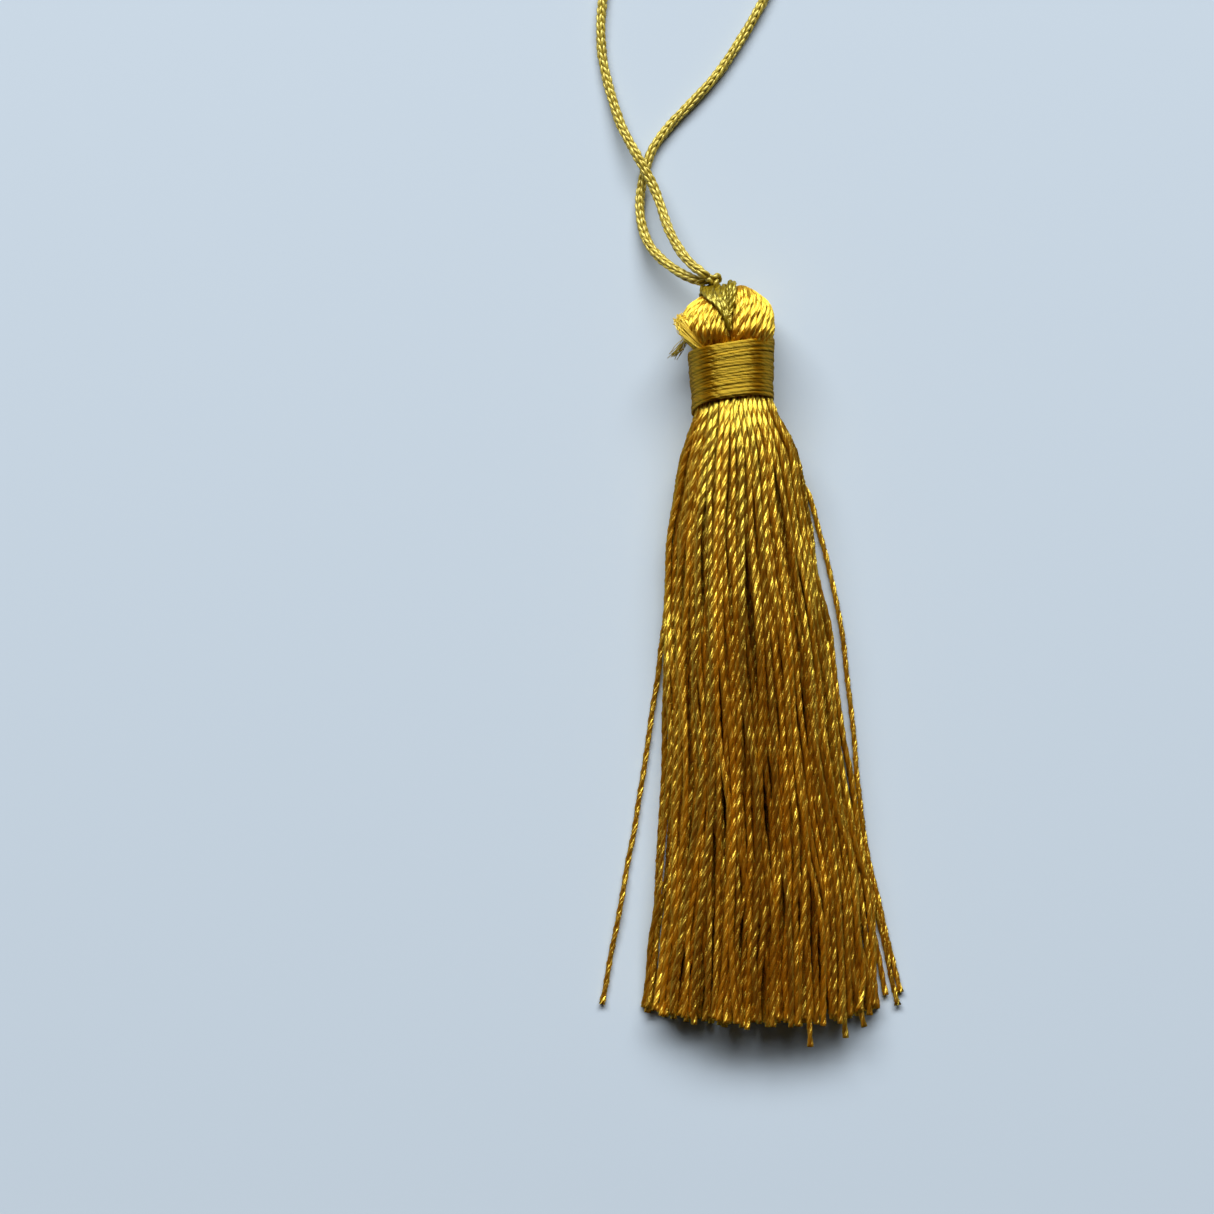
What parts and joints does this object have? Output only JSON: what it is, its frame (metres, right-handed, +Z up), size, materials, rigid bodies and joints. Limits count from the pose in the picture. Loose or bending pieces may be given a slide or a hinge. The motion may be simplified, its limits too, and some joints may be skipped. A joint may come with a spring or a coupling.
{
  "type": "silk tassel with hanging loop",
  "caption": "Yarn tassel with a two-lobed head, a thread-bound neck and a trimmed skirt, lying flat with its braided hanging loop laid out.",
  "frame": {"origin": "on the resting surface, under the middle of the neck binding, in its flat underside", "axes": "+Y from the skirt's cut ends through the neck towards the head and the loop, +Z up from the surface it lies on, +X to the right"},
  "size_m": [0.0337, 0.1274, 0.01],
  "materials": {
    "yarn_silk": "golden yellow twisted silk yarn with a strong sheen",
    "thread_silk": "fine dark gold thread wound in close turns",
    "tie_silk": "olive gold twisted thread",
    "cord_silk": "olive gold braided cord with a sheen"
  },
  "bodies": {
    "root": {"yarn_body": "yarn_silk", "neck_binding": "thread_silk", "crown_tie": "tie_silk", "cord_knot": "cord_silk", "hanging_cord": "cord_silk"}
  },
  "joints": []
}
